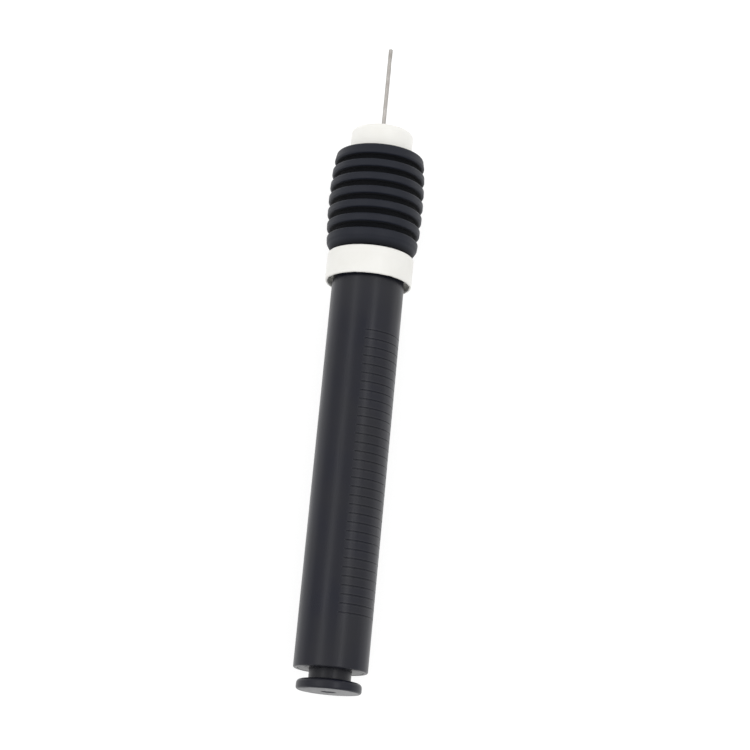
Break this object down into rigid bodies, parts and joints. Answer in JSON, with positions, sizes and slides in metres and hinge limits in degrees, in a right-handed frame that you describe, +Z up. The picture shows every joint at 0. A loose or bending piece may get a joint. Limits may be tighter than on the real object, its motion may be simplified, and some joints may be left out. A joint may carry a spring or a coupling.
{
  "type": "ball inflation pump",
  "caption": "Slim hand pump for inflating balls: a barrel slides over a hollow piston rod whose ribbed grip carries a needle.",
  "frame": {"origin": "on the surface that the pump lies on, under the middle of its overall length, on its axis in plan", "axes": "+Y along the pump's axis from the storage plug to the needle's tip, +Z up; the engraved lines are on the +X side"},
  "size_m": [0.0344, 0.2382, 0.0344],
  "materials": {
    "black_abs": "satin black moulded plastic",
    "white_abs": "white moulded plastic, satin gloss",
    "grip_rubber": "soft black moulded rubber",
    "seal_rubber": "black nitrile rubber, greased",
    "red_silicone": "thin valve rubber",
    "natural_acetal": "natural acetal",
    "core_aluminium": "drawn tube",
    "spring_steel": "pressed spring steel",
    "nickel_plate": "nickel-plated turned brass",
    "needle_steel": "drawn stainless tube"
  },
  "bodies": {
    "barrel": {"barrel_tube": "black_abs", "barrel_collar": "white_abs", "rod_guide": "natural_acetal", "rod_guide_oring": "seal_rubber", "rod_seal": "seal_rubber", "tail_cap": "black_abs", "tail_cap_oring": "seal_rubber", "core_tube": "core_aluminium", "core_end_plug": "natural_acetal", "inlet_stop_ring": "spring_steel"},
    "inlet_valve": {"inlet_disc": "red_silicone"},
    "tail_plug": {"storage_plug": "black_abs", "storage_plug_oring": "seal_rubber"},
    "piston_seal": {"piston_outer_seal": "seal_rubber"},
    "handle": {"piston_head": "natural_acetal", "piston_inner_oring": "seal_rubber", "disc_retainer": "natural_acetal", "port_sleeve": "red_silicone", "rod_tube": "white_abs", "handle_core": "white_abs", "grip_sleeve": "grip_rubber", "nose_cap": "white_abs", "nose_oring": "seal_rubber"},
    "delivery_valve": {"delivery_disc": "red_silicone"},
    "needle_washer": {"needle_oring": "seal_rubber"},
    "needle": {"needle_hub": "nickel_plate", "needle_tube": "needle_steel"}
  },
  "joints": [
    {"name": "pump_stroke", "type": "slide", "parent": "barrel", "child": "piston_seal", "axis": [0, 1, 0], "range_m": [0, 0.104]},
    {"name": "handle_turn", "type": "hinge", "parent": "piston_seal", "child": "handle", "pos_m": [0, 0, 0.0172], "axis": [0, 1, 0], "continuous": true},
    {"name": "plug_pull", "type": "slide", "parent": "barrel", "child": "tail_plug", "axis": [0, -1, 0], "range_m": [0, 0.06]},
    {"name": "inlet_lift", "type": "slide", "parent": "barrel", "child": "inlet_valve", "axis": [0, 1, 0], "range_m": [0, 0.0008]},
    {"name": "delivery_lift", "type": "slide", "parent": "handle", "child": "delivery_valve", "axis": [0, 1, 0], "range_m": [0, 0.0008]},
    {"name": "needle_advance", "type": "slide", "parent": "handle", "child": "needle_washer", "axis": [0, 1, 0], "range_m": [0, 0.0077]},
    {"name": "needle_turn", "type": "hinge", "parent": "needle_washer", "child": "needle", "pos_m": [0, 0, 0.0172], "axis": [0, 1, 0], "range_deg": [0, 3500]}
  ],
  "couplings": [
    {"joint": "needle_turn", "follows": "needle_advance", "rad_per_m": 7915.8}
  ]
}
